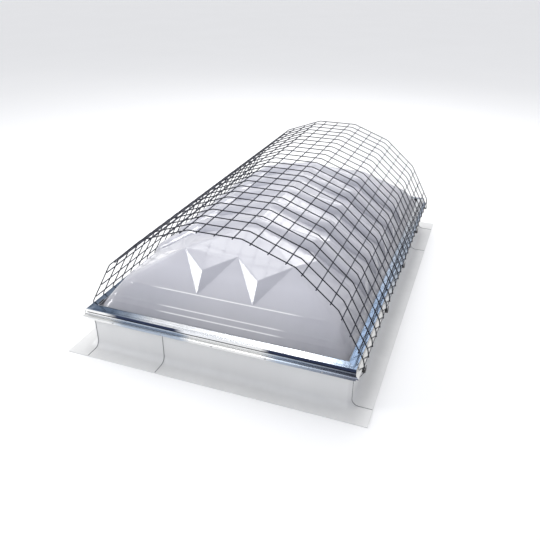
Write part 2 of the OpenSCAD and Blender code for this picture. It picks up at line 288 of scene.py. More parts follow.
@shader_group(
    "Painted reflection streaks", {"Along": (1.0, 0.0, 0.0), "Shift": 0.5}, "Colour", "NodeSocketColor"
)
def painted_reflections_group(t, given):
    """Painted reflections in long streaks along a drawn bar, in three bands of the section: top, edge and
    foot.
    """
    place = place_of(t)
    way = add(t, "ShaderNodeVectorMath", {0: place, 1: given["Along"]}, operation="DOT_PRODUCT")
    along = maths(t, "ADD", way.outputs["Value"], given["Shift"])
    white, cream, slate = (1.0, 1.0, 1.0), (0.97, 0.95, 0.91), (0.16, 0.17, 0.21)
    steel, pale, navy = (0.15, 0.20, 0.28), (0.50, 0.56, 0.64), (0.035, 0.045, 0.085)
    top = (
        (0.0, pale), (0.03, steel), (0.11, steel), (0.20, pale),
        (0.27, white), (0.84, white), (0.91, pale), (1.0, steel),
    )
    edge = (
        (0.0, cream), (0.08, cream), (0.13, navy), (0.36, navy),
        (0.40, white), (0.68, cream), (0.71, navy), (1.0, navy),
    )
    foot = (
        (0.0, cream), (0.10, cream), (0.16, pale), (0.38, pale),
        (0.42, cream), (0.68, cream), (0.74, pale), (1.0, slate),
    )
    blur = 0.0006
    out = ramp(t, along, foot)
    height = part_of(t, place, "Z")
    for level, stops in ((BAR_EDGE_LEVEL, edge), (BAR_TOP_LEVEL, top)):
        step = {"Value": height, "From Min": level - blur, "From Max": level + blur}
        over = add(t, "ShaderNodeMapRange", step).outputs["Result"]
        out = mixed(t, over, out, ramp(t, along, stops))
    return out


# ---- finishes ------------------------------------------------------------


def finish_material(
    name,
    light,
    dark,
    rough,
    stretch=(1.0, 1.0, 1.0),
    scale=6.0,
    relief=0.0,
    relief_scale=80.0,
    relief_depth=0.0006,
    metallic=0.0,
    coat=0.0,
    subsurface=0.0,
    low_dirt_and_shade=None,
    specular=0.5,
    painted_light=None,
):
    """A finish with its own colour variation, roughness variation and fine relief."""
    found = bpy.data.materials.get(name)
    if found:
        return found
    m = bpy.data.materials.new(name)
    m.use_nodes = True
    t = m.node_tree
    p = t.nodes["Principled BSDF"]
    for socket, value in {
        "Metallic": metallic,
        "Coat Weight": coat,
        "Coat Roughness": 0.08,
        "Specular IOR Level": specular,
        "Subsurface Weight": subsurface,
        "Subsurface Radius": (0.02, 0.02, 0.02),
        "Subsurface Scale": 0.5,
    }.items():
        p.inputs[socket].default_value = value

    tone = use(t, variation_group, Stretch=stretch, Scale=scale)
    out = mixed(t, tone, (*dark, 1.0), (*light, 1.0))
    # darkening low down: dirt on the cladding, painted shade on the dome skin and the long wires
    if low_dirt_and_shade:
        bottom, top, amount, shade, evenness = low_dirt_and_shade
        low = use(t, low_dirt_and_shade_group, Bottom=bottom, Top=top, Amount=amount, Evenness=evenness)
        out = mixed(t, low, out, (*shade, 1.0))
    # painted_light lays painted reflections on the bars and painted highlights on the skin over the colour
    if painted_light:
        out = painted_light(t, out)
    t.links.new(out, p.inputs["Base Color"])

    gloss = use(t, variation_group, Stretch=stretch, Scale=scale * 2.3, Low=rough[0], High=rough[1])
    t.links.new(gloss, p.inputs["Roughness"])
    if relief:
        fine = use(
            t, relief_group, Stretch=stretch, Scale=relief_scale, Strength=relief, Depth=relief_depth
        )
        t.links.new(fine, p.inputs["Normal"])
    return m


def darker(shade, share):
    return tuple(c * share for c in shade)


def painted_fold_highlights(t, base):
    """Lays painted highlights along the lower fold and the two ledges over the skin's colour."""
    fold = UPSTAND_TOP + RIM_RISE / 1000 + bpy.context.scene.skylight_dome.fold_rise
    for drop, reach, amount in ((0, 0.36, 1.0), *((d, 0.30, 0.75) for d in LEDGE_DROPS)):
        line = use(t, painted_glints_group, Level=fold - drop / 1000, Half_width=0.0028, Reach=reach, Amount=amount)
        base = mixed(t, line, base, (1.0, 1.0, 1.0, 1.0))
    return base


def painted_reflections(along, shift):
    """Lays painted reflections, in long streaks, over the colour of a drawn bar."""

    def lay(t, base):
        bands = use(t, painted_reflections_group, Along=along, Shift=shift)
        return mixed(t, 1.0, base, bands, blend_type="MULTIPLY")

    return lay


def finishes(name):
    """The finish of that name, made from its recipe."""
    s = bpy.context.scene.skylight_finish
    bar = dict(
        light=s.aluminium, dark=darker(s.aluminium, 0.88), rough=(0.14, 0.26), scale=4.0, metallic=1.0
    )
    wire = dict(
        rough=(0.35, 0.55), scale=40.0, relief=0.3, relief_scale=300.0, relief_depth=0.0003,
        metallic=0.6,
    )
    recipes = {
        "cladding": dict(
            name="coated_sheet", light=s.cladding, dark=darker(s.cladding, 0.93), rough=(0.34, 0.48),
            stretch=(1.0, 1.0, 0.4), scale=3.0, relief=0.25, relief_scale=14.0, relief_depth=0.002,
            low_dirt_and_shade=(0.0, 0.10, 0.10, (0.42, 0.42, 0.43), 0.0),
        ),
        "opal": dict(
            name="opal_acrylic", light=s.opal, dark=darker(s.opal, 0.96), rough=(0.12, 0.20),
            scale=2.5, relief=0.10, relief_scale=5.0, relief_depth=0.003, coat=0.6, subsurface=0.08,
            # painted shade: the skirt darkens towards the curb
            low_dirt_and_shade=(UPSTAND_TOP + 0.03, UPSTAND_TOP + 0.20, 0.95, darker(s.opal, 0.42), 0.92),
            painted_light=painted_fold_highlights,
        ),
        "opal_inner": dict(
            name="opal_inner_skin", light=darker(s.opal, 0.98), dark=darker(s.opal, 0.93),
            rough=(0.3, 0.42), scale=3.0, relief=0.1, relief_scale=6.0, relief_depth=0.003,
            subsurface=0.1,
        ),
        # the bars' colour carries painted reflections, in streaks along their length
        "bar_x": dict(
            bar, name="extruded_aluminium_x", stretch=(1.0, 60.0, 60.0),
            painted_light=painted_reflections((0.5 / (WALL_X + BAR_REACH), 0.0, 0.0), 0.5),
        ),
        "bar_y": dict(
            bar, name="extruded_aluminium_y", stretch=(60.0, 1.0, 60.0),
            painted_light=painted_reflections((0.0, 0.14 / (WALL_Y + BAR_REACH), 0.0), 0.17),
        ),
        "wire": dict(wire, name="galvanised_wire", light=s.wire, dark=darker(s.wire, 0.6)),
        # the same wire as the arches, painted lighter as if lit from above, with painted shade towards the
        # foot
        "long_wire": dict(
            wire, name="galvanised_long_wire", light=darker(s.wire, 2.0), dark=darker(s.wire, 1.2),
            low_dirt_and_shade=(UPSTAND_TOP + 0.02, UPSTAND_TOP + 0.08, 1.0, darker(s.wire, 0.5), 1.0),
        ),
        "rubber": dict(
            name="black_rubber", light=(0.022, 0.022, 0.024), dark=(0.012, 0.012, 0.013),
            rough=(0.6, 0.8), scale=30.0, relief=0.3, relief_scale=260.0,
        ),
        "grey_seal": dict(
            name="grey_seal", light=(0.30, 0.31, 0.34), dark=(0.24, 0.25, 0.28),
            rough=(0.45, 0.6), scale=30.0, relief=0.2, relief_scale=220.0,
        ),
        "clip": dict(
            name="black_moulded_plastic", light=(0.02, 0.02, 0.022), dark=(0.012, 0.012, 0.013),
            rough=(0.35, 0.5), scale=60.0, relief=0.3, relief_scale=400.0, relief_depth=0.0003,
        ),
        "screw": dict(
            name="screw_steel", light=(0.55, 0.55, 0.56), dark=(0.35, 0.35, 0.36), rough=(0.25, 0.4),
            scale=120.0, relief=0.2, relief_scale=500.0, relief_depth=0.0002, metallic=1.0,
        ),
        "foam": dict(
            name="insulation_foam", light=(0.80, 0.74, 0.58), dark=(0.70, 0.64, 0.48),
            rough=(0.8, 0.95), scale=18.0, relief=0.8, relief_scale=140.0, relief_depth=0.0012,
        ),
        "lining": dict(
            name="lining_board", light=(0.82, 0.82, 0.80), dark=(0.76, 0.76, 0.75),
            rough=(0.35, 0.5), scale=4.0, relief=0.2, relief_scale=30.0, relief_depth=0.0008,
        ),
        "sealant": dict(
            name="joint_sealant", light=(0.16, 0.16, 0.17), dark=(0.10, 0.10, 0.11),
            rough=(0.4, 0.6), scale=40.0, relief=0.3, relief_scale=120.0,
        ),
    }
    return finish_material(**recipes[name])


def repaint(node, name):
    """Gives a frame node a better finish."""
    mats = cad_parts[node].data.materials
    mats.clear()
    mats.append(finishes(name))


# ---- mesh and geometry node helpers --------------------------------------


def piece_from_mesh(name, mesh, material=None):
    obj = bpy.data.objects.new(name, mesh)
    bpy.context.scene.collection.objects.link(obj)
    if material:
        mesh.materials.append(material)
    return obj


def geometry_tree(name, **inputs):
    """A geometry tree with sockets for its inputs; a last input takes the finish."""
    t = bpy.data.node_groups.new(name, "GeometryNodeTree")
    t.is_modifier = True
    t.interface.new_socket(name="Geometry", in_out="INPUT", socket_type="NodeSocketGeometry")
    for label, kind in (*inputs.items(), ("Finish", "Material")):
        t.interface.new_socket(
            name=label.replace("_", " "), in_out="INPUT", socket_type="NodeSocket" + kind
        )
    t.interface.new_socket(name="Geometry", in_out="OUTPUT", socket_type="NodeSocketGeometry")
    return t, t.nodes.new("NodeGroupInput").outputs


def end_tree(t, geometry, given):
    """Realize, shade and give the finish, the last steps of each tree."""
    real = add(t, "GeometryNodeRealizeInstances", {"Geometry": geometry}).outputs["Geometry"]
    painted = add(t, "GeometryNodeSetMaterial", {"Geometry": real, "Material": given["Finish"]})
    add(t, "NodeGroupOutput", {"Geometry": painted.outputs["Geometry"]})
    return t


def tube_along(t, curve, diameter, sides):
    """A closed round tube along a curve."""
    radius = maths(t, "MULTIPLY", diameter, 0.5)
    circle = add(t, "GeometryNodeCurvePrimitiveCircle", {"Resolution": sides, "Radius": radius})
    inputs = {"Curve": curve, "Profile Curve": circle.outputs["Curve"], "Fill Caps": True}
    return add(t, "GeometryNodeCurveToMesh", inputs).outputs["Mesh"]


def bake_tree(name, base, tree, values, smooth=35.0):
    """Runs a geometry tree on a base mesh and keeps the result as a plain mesh."""
    carrier = piece_from_mesh(name + "_base", base)
    mod = carrier.modifiers.new("Build", "NODES")
    mod.node_group = tree
    for item in tree.interface.items_tree:
        if item.item_type == "SOCKET" and item.in_out == "INPUT" and item.name in values:
            mod[item.identifier] = values[item.name]
    carrier.update_tag()
    bpy.context.view_layer.update()
    deps = bpy.context.evaluated_depsgraph_get()
    mesh = bpy.data.meshes.new_from_object(carrier.evaluated_get(deps))
    carrier.modifiers.remove(mod)
    bpy.data.objects.remove(carrier)
    mesh.name = name
    mesh.shade_smooth()
    mesh.set_sharp_from_angle(angle=math.radians(smooth))
    if len(mesh.polygons) == 0:
        raise RuntimeError(f"{name} came out empty")
    return piece_from_mesh(name, mesh)


def polyline_mesh(name, lines):
    verts, edges = [], []
    for line in lines:
        start = len(verts)
        verts += [tuple(p) for p in line]
        edges += [(start + i, start + i + 1) for i in range(len(line) - 1)]
    mesh = bpy.data.meshes.new(name)
    mesh.from_pydata(verts, edges, [])
    return mesh


# ---- the dome ------------------------------------------------------------


def ring_sides(x, y, i):
    """The two sides of a rectangle that lie on the i side of its middle."""
    return [((-x, i * y), (x, i * y)), ((i * x, -y), (i * x, y))]


class DomeShape:
    """Height of the outer skin over the plan, in millimetres."""

    def __init__(self, s):
        low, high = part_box("dome_outer")
        self.edge = (high.x * 1000, high.y * 1000)
        self.foot = low.z * 1000 + RIM_THICKNESS + RIM_GAP
        self.base = (WALL_X * 1000 - RIM_INSET, WALL_Y * 1000 - RIM_INSET)
        self.z0 = UPSTAND_TOP * 1000 + RIM_RISE
        self.z1 = self.z0 + s.fold_rise * 1000
        self.z2 = self.z1 + s.shoulder_rise * 1000
        self.z3 = self.z2 + s.ridge_rise * 1000
        self.fold = (self.base[0] - SKIRT_RUN[0], self.base[1] - SKIRT_RUN[1])
        self.shoulder = (self.fold[0] - SLOPE_RUN[0], self.fold[1] - SLOPE_RUN[1])
        self.ridge = self.shoulder[1] - HIP_RUN
        self.bays = (s.side_bays, s.end_bays)
        self.pitch = (2 * self.shoulder[1] / s.side_bays, 2 * self.shoulder[0] / s.end_bays)
        self.half = s.rib_width * 500
        self.hip = s.hip_softness * 1000
        self.ribs = [-self.shoulder[1] + self.pitch[0] * i for i in range(1, s.side_bays)]
        lower = (self.fold[0], self.z1)
        starts = ((0.0, self.z3), (self.shoulder[0], self.z2), lower, lower)
        self.crest = [(x + out, z + up) for (x, z), (out, up) in zip(starts, RIB_CREST)]
        self.tip = self.crest[-1][0]

    def slopes(self, a, axis):
        b, f, s = self.base[axis], self.fold[axis], self.shoulder[axis]
        end = 0.0 if axis == 0 else self.ridge
        low = self.z0 + (b - a) * (self.z1 - self.z0) / (b - f)
        mid = self.z1 + (f - a) * (self.z2 - self.z1) / (f - s)
        top = self.z2 + (s - a) * (self.z3 - self.z2) / (s - end)
        return low, mid, top

    def height(self, x, y):
        ax, ay = np.abs(x), np.abs(y)
        sides, ends = self.slopes(ax, 0), self.slopes(ay, 1)
        side, end = np.minimum.reduce(sides), np.minimum.reduce(ends)
        # the hips are sharp at the shoulder and soft at the foot
        down = np.clip((self.z2 - np.minimum(side, end)) / (self.z2 - self.z0), 0, 1)
        z = np.minimum(blunt(side, end, self.hip * (0.06 + 0.94 * down)), self.z3)
        # two fine ledges in the skirt and a bead on the lower fold
        ledges = [(self.z1 - drop, 0.9, LEDGE_WIDTH) for drop in LEDGE_DROPS]
        for level, high, wide in (*ledges, (self.z1, 1.3, 3.4)):
            off = np.abs(z - level) / wide
            z = z + high * np.clip(1 - off, 0, 1) * (z < self.z1 + 4)
        plain = z.copy()
        z = self.fold_in(z, ay, x, 1, ends[1])
        z = self.fold_in(z, ax, y, 0, sides[1])
        # raised ribs, rounded at the ridge and full over the side
        crest = np.interp(ax, *zip(*self.crest))
        lift = np.maximum(crest - plain, 0.0)
        fade = np.clip((self.tip - ax) / RIB_TIP, 0, 1)
        lift = lift * np.sqrt(np.clip(1 - (1 - fade) ** 2, 0, 1))
        for r in self.ribs:
            t = np.abs(y - r) / self.half
            full = np.clip(1 - t**2.4, 0, 1) ** 0.62
            soft = np.clip(1 - t**2, 0, 1) ** 2
            side = np.clip(ax / self.shoulder[0], 0, 1) ** 2
            rib = plain + lift * (soft * (1 - side) + full * side)
            z = np.where(t < 1, np.maximum(z, rib), z)
        return np.maximum(z, self.foot)

    def fold_in(self, z, out, along, axis, slope):
        """Raises a three-sided pyramid in each bay of one slope."""
        s, f = self.shoulder[axis], self.fold[axis]
        count, pitch = self.bays[axis], self.pitch[axis]
        far, drop = FOLD_APEX[axis]
        top, bottom = self.z2, self.z1
        apex_out = s + far * (f - s)
        apex_z = top - drop * (top - bottom)
        for i in range(count):
            u = np.abs(along - (i + 0.5 - count / 2) * pitch)
            head = top + (apex_z - top) * (out - s) / (apex_out - s)
            # the plane through the top corner, the apex and the foot of the bay
            a = np.array([apex_out - s, -pitch / 2, apex_z - top])
            b = np.array([f - s, -pitch / 2, bottom - top])
            n = np.cross(a, b)
            side = top - (n[0] * (out - s) + n[1] * (u - pitch / 2)) / n[2]
            face = np.minimum(head, side)
            inside = (u <= pitch / 2) & (out >= s) & (out <= f) & (face > slope)
            z = np.where(inside, np.maximum(z, face), z)
        return z

    def feature_lines(self):
        """Folds of the skin in plan, each as two points."""
        lines = []
        fold, shoulder = self.fold, self.shoulder
        g = (self.z0 - self.foot) / (self.z1 - self.z0)
        rim = [b + g * (b - f) for b, f in zip(self.base, fold)]
        for i in (-1, 1):
            for ring in (fold, shoulder, rim):
                lines += ring_sides(*ring, i)
            for j in (-1, 1):
                hip = [(i * x, j * y) for x, y in (rim, fold, shoulder)] + [(0.0, j * self.ridge)]
                lines += zip(hip, hip[1:])
        lines.append(((0.0, -self.ridge), (0.0, self.ridge)))
        for j in (-1, 1):
            for axis in (1, 0):
                s, f = shoulder[axis], fold[axis]
                pitch = self.pitch[axis]
                for i in range(self.bays[axis]):
                    m = -shoulder[1 - axis] + (i + 0.5) * pitch
                    apex, foot, *corners = (
                        (u, j * out) if axis else (j * out, u)
                        for out, u in (
                            (s + FOLD_APEX[axis][0] * (f - s), m), (f, m),
                            (s, m - pitch / 2), (s, m + pitch / 2),
                        )
                    )
                    for corner in corners:
                        lines += [(corner, apex), (corner, foot)]
                    lines.append((apex, foot))
        return lines

    def ledge_lines(self):
        lines = []
        for drop in LEDGE_DROPS:
            for off in (-LEDGE_WIDTH, 0.0, LEDGE_WIDTH):
                k = (drop - off) / (self.z1 - self.z0)
                x, y = (f + k * (b - f) for f, b in zip(self.fold, self.base))
                for i in (-1, 1):
                    lines += ring_sides(x, y, i)
        return lines


def blunt(a, b, soft):
    """The lower of two heights, rounded off where they meet."""
    k = np.clip(0.5 + 0.5 * (b - a) / soft, 0, 1)
    return b * (1 - k) + a * k - soft * k * (1 - k)


def spread(line, step):
    (x0, y0), (x1, y1) = line
    n = max(1, int(round(math.hypot(x1 - x0, y1 - y0) / step)))
    return [(x0 + (x1 - x0) * i / n, y0 + (y1 - y0) * i / n) for i in range(n + 1)]


def dome_mesh(s):
    """The outer skin: a triangulated plan that follows every fold, raised to its height."""
    shape = DomeShape(s)
    step = s.step * 1000
    ex, ey = shape.edge
    points, edges = [], []

    def add_line(line, pace=step):
        start = len(points)
        points.extend(spread(line, pace))
        edges.extend((i, i + 1) for i in range(start, len(points) - 1))

    outline = [(-ex, -ey), (ex, -ey), (ex, ey), (-ex, ey)]
    for i in range(4):
        add_line((outline[i], outline[(i + 1) % 4]), 30)
    for a, b in shape.feature_lines():
        d = Vector((b[0] - a[0], b[1] - a[1])).normalized() * 3.0  # a line each side keeps the fold crisp
        for k in (-1, 0, 1):
            add_line(((a[0] - k * d.y, a[1] + k * d.x), (b[0] - k * d.y, b[1] + k * d.x)))
    for line in shape.ledge_lines():
        add_line(line, 40)
    for r in shape.ribs:
        for t in (-1.0, -0.97, -0.9, -0.75, -0.55, -0.3, 0.0, 0.3, 0.55, 0.75, 0.9, 0.97, 1.0):
            y = r + t * shape.half
            add_line(((-shape.tip, y), (shape.tip, y)), step * 0.8)
        for i in (-1, 1):
            for back in (0.0, 2.0, 6.0, 13.0, 26.0):
                x = i * (shape.tip - back)
                add_line(((x, r - shape.half), (x, r + shape.half)), 8)
    nx, ny = int(2 * ex / step), int(2 * ey / step)
    for i in range(1, nx):
        for j in range(1, ny):
            points.append((-ex + 2 * ex * i / nx, -ey + 2 * ey * j / ny))
    plan, _, faces, _, _, _ = delaunay_2d_cdt(
        [Vector(p) for p in points], edges, [], 0, 0.4, False
    )
    xy = np.array([(p.x, p.y) for p in plan])
    z = shape.height(xy[:, 0], xy[:, 1])
    thick = s.skin * 1000 * 0.8  # moulding thins the skin
    n = len(xy)
    low = np.maximum(z - thick, shape.foot - RIM_THICKNESS)
    verts = np.vstack([np.column_stack([xy, z]), np.column_stack([xy, low])]) / 1000
    tris = [tuple(f) for f in faces]
    tris = [f if area(xy, f) > 0 else f[::-1] for f in tris]
    rim = {}
    for f in tris:
        for i in range(len(f)):
            a, b = f[i], f[(i + 1) % len(f)]
            if (b, a) in rim:
                del rim[(b, a)]
            else:
                rim[(a, b)] = True
    under = [tuple(i + n for i in reversed(f)) for f in tris]
    walls = [(b, a, a + n, b + n) for a, b in rim]
    mesh = bpy.data.meshes.new("dome_skin")
    mesh.from_pydata([tuple(v) for v in verts], [], tris + under + walls)
    mesh.update()
    mesh.shade_smooth()
    mesh.set_sharp_from_angle(angle=math.radians(38))
    return mesh


def area(xy, f):
    total = 0.0
    for i in range(len(f)):
        x0, y0 = xy[f[i]]
        x1, y1 = xy[f[(i + 1) % len(f)]]
        total += x0 * y1 - x1 * y0
    return total

# ---- the cage ------------------------------------------------------------


def arch_points(s, wire):
    """Corners of one arch from the left foot to the right, as (x, z)."""
    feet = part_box("cage_feet_right")
    x, z = feet[1].x - wire / 2, feet[0].z + wire / 2
    a = s.bend
    run = 0.5 + math.cos(a) + math.cos(2 * a) + math.cos(3 * a)
    flat = (x - s.foot * math.cos(4 * a)) / run
    pts = [(x, z), (x - s.foot * math.cos(4 * a), z + s.foot * math.sin(4 * a))]
    for n in (3, 2, 1):
        px, pz = pts[-1]
        pts.append((px - flat * math.cos(n * a), pz + flat * math.sin(n * a)))
    right = pts[::-1]
    return [(-px, pz) for px, pz in pts] + right, flat


def cage_rows(s, wire):
    """Places of the long wires under the arches, as (x, z)."""
    corners, flat = arch_points(s, wire)
    drop = wire + 0.0001
    rows = []
    for i in range(1, len(corners) - 2):
        (x0, z0), (x1, z1) = corners[i], corners[i + 1]
        dx, dz = (x1 - x0) / flat, (z1 - z0) / flat
        for k in (1 / 6, 0.5, 5 / 6):
            rows.append((x0 + (x1 - x0) * k + dz * drop, z0 + (z1 - z0) * k - dx * drop))
    foot = corners[-1]
    rows.append((foot[0] - drop, foot[1]))
    rows.append((-foot[0] + drop, foot[1]))
    return rows


def arch_tree():
    """One bent wire from a path, repeated along Y."""
    t, given = geometry_tree(
        "Arched wires", Wire_diameter="Float", Bend_radius="Float", Number_of_arches="Int", Spacing="Float"
    )
    path = add(t, "GeometryNodeMeshToCurve", {"Mesh": given["Geometry"]}).outputs["Curve"]
    bends = {"Curve": path, "Radius": given["Bend radius"], "Count": 5}
    bent = add(t, "GeometryNodeFilletCurve", bends, mode="POLY").outputs["Curve"]
    wire = tube_along(t, bent, given["Wire diameter"], 8)
    step = add(t, "ShaderNodeCombineXYZ", {"Y": given["Spacing"]}).outputs["Vector"]
    row = add(t, "GeometryNodeMeshLine", {"Count": given["Number of arches"], "Offset": step})
    copies = {"Points": row.outputs["Mesh"], "Instance": wire}
    return end_tree(t, add(t, "GeometryNodeInstanceOnPoints", copies).outputs["Instances"], given)


def long_wire_tree():
    """A straight wire along Y from each given point."""
    t, given = geometry_tree("Long wires", Wire_diameter="Float", Length="Float")
    end = add(t, "ShaderNodeCombineXYZ", {"Y": given["Length"]}).outputs["Vector"]
    line = add(t, "GeometryNodeCurvePrimitiveLine", {"End": end}).outputs["Curve"]
    wire = tube_along(t, line, given["Wire diameter"], 8)
    copies = {"Points": given["Geometry"], "Instance": wire}
    return end_tree(t, add(t, "GeometryNodeInstanceOnPoints", copies).outputs["Instances"], given)


def bead_tree():
    """A round bead along each given path."""
    t, given = geometry_tree("Joint beads", Bead_width="Float")
    path = add(t, "GeometryNodeMeshToCurve", {"Mesh": given["Geometry"]}).outputs["Curve"]
    return end_tree(t, tube_along(t, path, given["Bead width"], 6), given)


def screw_tree(head):
    """A screw head on each given point, turned outward."""
    t, given = geometry_tree("Face screws")
    shape = add(t, "GeometryNodeObjectInfo", {"Object": head}).outputs["Geometry"]
    way = add(t, "GeometryNodeInputNamedAttribute", {"Name": "outward"}, data_type="FLOAT_VECTOR")
    turn = add(
        t, "FunctionNodeAlignRotationToVector", {"Vector": way.outputs["Attribute"]}, axis="Z"
    ).outputs["Rotation"]
    copies = {"Points": given["Geometry"], "Instance": shape, "Rotation": turn}
    return end_tree(t, add(t, "GeometryNodeInstanceOnPoints", copies).outputs["Instances"], given)


def lathe(name, profile, sides):
    """A turned shape about Z from (radius, height) pairs, closed at both ends of the axis."""
    bm = bmesh.new()
    rings = []
    for r, z in profile:
        if r == 0:
            rings.append([bm.verts.new((0, 0, z))])
        else:
            rings.append(
                [
                    bm.verts.new(
                        (r * math.cos(2 * math.pi * i / sides), r * math.sin(2 * math.pi * i / sides), z)
                    )
                    for i in range(sides)
                ]
            )
    for a, b in zip(rings, rings[1:]):
        for i in range(sides):
            j = (i + 1) % sides
            loop = [a[i % len(a)], a[j % len(a)], b[j % len(b)], b[i % len(b)]]
            seen = []
            for v in loop:
                if v not in seen:
                    seen.append(v)
            if len(seen) > 2:
                bm.faces.new(seen)
    bmesh.ops.recalc_face_normals(bm, faces=bm.faces)
    mesh = bpy.data.meshes.new(name)
    bm.to_mesh(mesh)
    bm.free()
    return mesh


# ---- operators -----------------------------------------------------------


class SKYLIGHT_OT_upstand(bpy.types.Operator):
    """Finish the cladding, insulation and lining of the upstand"""

    bl_idname = "skylight.upstand"
    bl_label = "Upstand"

    def execute(self, context):
        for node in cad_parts:
            if node.startswith("cladding_"):
                repaint(node, "cladding")
            elif node.startswith("core_"):
                repaint(node, "foam")
            elif node.startswith("lining_"):
                repaint(node, "lining")
        return {"FINISHED"}


class SKYLIGHT_OT_joints(bpy.types.Operator):
    """Lay a thin bead of sealant along each joint of the cladding"""

    bl_idname = "skylight.joints"
    bl_label = "Cladding joints"

    def execute(self, context):
        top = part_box("frame_front")[0].z + 0.008
        out = -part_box("cladding_front")[0].y - 0.002 - WALL_Y
        proud = 0.0002
        path = [(proud, top), (proud, SHEET + FOOT_SWEEP)]
        for k in (0.25, 0.5, 0.75):
            a = k * math.pi / 2
            path.append((FOOT_SWEEP * (1 - math.cos(a)), SHEET + FOOT_SWEEP * (1 - math.sin(a))))
        path += [(FOOT_SWEEP, SHEET + proud), (out, SHEET + proud)]
        front_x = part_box("cladding_front")[0].x
        left_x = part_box("cladding_front_left")[0].x
        corner_y = WALL_Y - 0.016
        side_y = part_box("cladding_right_rear")[0].y
        lines = [
            [(front_x, -WALL_Y - u, z) for u, z in path],
            [(left_x, -WALL_Y - u, z) for u, z in path],
            [(WALL_X + u, -corner_y, z) for u, z in path],
            [(WALL_X + u, side_y, z) for u, z in path],
            [(WALL_X + u, corner_y, z) for u, z in path],
            [(-WALL_X - u, corner_y, z) for u, z in path],
        ]
        obj = bake_tree(
            "joint_beads",
            polyline_mesh("joint_paths", lines),
            bead_tree(),
            {"Bead width": 0.0026, "Finish": finishes("sealant")},
        )
        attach(obj, "root")
        return {"FINISHED"}


class SKYLIGHT_OT_frame_bars(bpy.types.Operator):
    """Finish the aluminium bars and the rubber between them"""

    bl_idname = "skylight.frame_bars"
    bl_label = "Frame bars"

    def execute(self, context):
        for side, name in (("front", "bar_x"), ("back", "bar_x"), ("right", "bar_y"), ("left", "bar_y")):
            repaint("frame_" + side, name)
            repaint("clamp_" + side, name)
        for node in ("upstand_gasket", "dome_seal", "gasket_plug"):
            repaint(node, "rubber")
        repaint("clamp_gasket", "grey_seal")
        return {"FINISHED"}


class SKYLIGHT_OT_screws(bpy.types.Operator):
    """Set a pan-head screw at each fixing place of the frame"""

    bl_idname = "skylight.screws"
    bl_label = "Face screws"

    def execute(self, context):
        spots = {}
        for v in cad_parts["frame_screws"].data.vertices:
            spots.setdefault((round(v.co.x / 0.05), round(v.co.y / 0.05)), []).append(v.co)
        points, outward = [], []
        for cos in spots.values():
            mid = sum(cos, Vector()) / len(cos)
            out = 1 if abs(mid.y) > WALL_Y else 0
            way = Vector()
            way[out] = math.copysign(1, mid[out])
            point = [(min(c[k] for c in cos) + max(c[k] for c in cos)) / 2 for k in range(3)]
            point[out] = way[out] * min(c.dot(way) for c in cos)
            points.append(point)
            outward.append(way)
        base = bpy.data.meshes.new("screw_places")
        base.from_pydata(points, [], [])
        attr = base.attributes.new("outward", "FLOAT_VECTOR", "POINT")
        for i, way in enumerate(outward):
            attr.data[i].vector = way
        # radius and height in millimetres, from the seat over the head into its recess
        profile = [
            (0, 0), (4.5, 0), (4.5, 0.9), (4.1, 1.7), (3.2, 2.3), (2.0, 2.6),
            (1.7, 2.5), (1.5, 1.3), (0, 1.3),
        ]
        head = bpy.data.objects.new(
            "screw_head", lathe("screw_head", [(r / 1000, z / 1000) for r, z in profile], 18)
        )
        context.scene.collection.objects.link(head)
        obj = bake_tree("face_screws", base, screw_tree(head), {"Finish": finishes("screw")})
        bpy.data.objects.remove(head)
        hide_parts("frame_screws")
        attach(obj, "root")
        return {"FINISHED"}


class SKYLIGHT_OT_dome(bpy.types.Operator):
    """Mould the ribbed and folded outer skin and finish the inner one"""

    bl_idname = "skylight.dome"
    bl_label = "Dome"

    def execute(self, context):
        obj = piece_from_mesh("dome_skin", dome_mesh(context.scene.skylight_dome), finishes("opal"))
        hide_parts("dome_outer")
        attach(obj, "root")
        repaint("dome_inner", "opal_inner")
        return {"FINISHED"}


class SKYLIGHT_OT_cage(bpy.types.Operator):
    """Bend the arched wires and lay the long wires under them"""

    bl_idname = "skylight.cage"
    bl_label = "Wire mesh"

    def execute(self, context):
        s = context.scene.skylight_cage
        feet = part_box("cage_feet_right")
        overhang = 0.004
        y0, y1 = feet[0].y + overhang, feet[1].y - overhang
        count = int(round((y1 - y0) / s.spacing)) + 1
        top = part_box("cage_top_flat")
        # the flat is two wires thick, with a hair of clearance
        wire = round((top[1].z - top[0].z - 0.0003) / 2, 4)
        corners, _ = arch_points(s, wire)
        arches = bake_tree(
            "cage_arches",
            polyline_mesh("arch_path", [[(x, y0, z) for x, z in corners]]),
            arch_tree(),
            {
                "Wire diameter": wire,
                "Bend radius": s.bend_radius,
                "Number of arches": count,
                "Spacing": (y1 - y0) / (count - 1),
                "Finish": finishes("wire"),
            },
            smooth=60.0,
        )
        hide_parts(*CAGE_NODES)
        base = bpy.data.meshes.new("long_wire_places")
        base.from_pydata([(x, y0 - overhang, z) for x, z in cage_rows(s, wire)], [], [])
        rows = bake_tree(
            "cage_long_wires",
            base,
            long_wire_tree(),
            {"Wire diameter": wire, "Length": y1 - y0 + 2 * overhang, "Finish": finishes("long_wire")},
            smooth=60.0,
        )
        for obj in (arches, rows):
            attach(obj, "root")
        return {"FINISHED"}


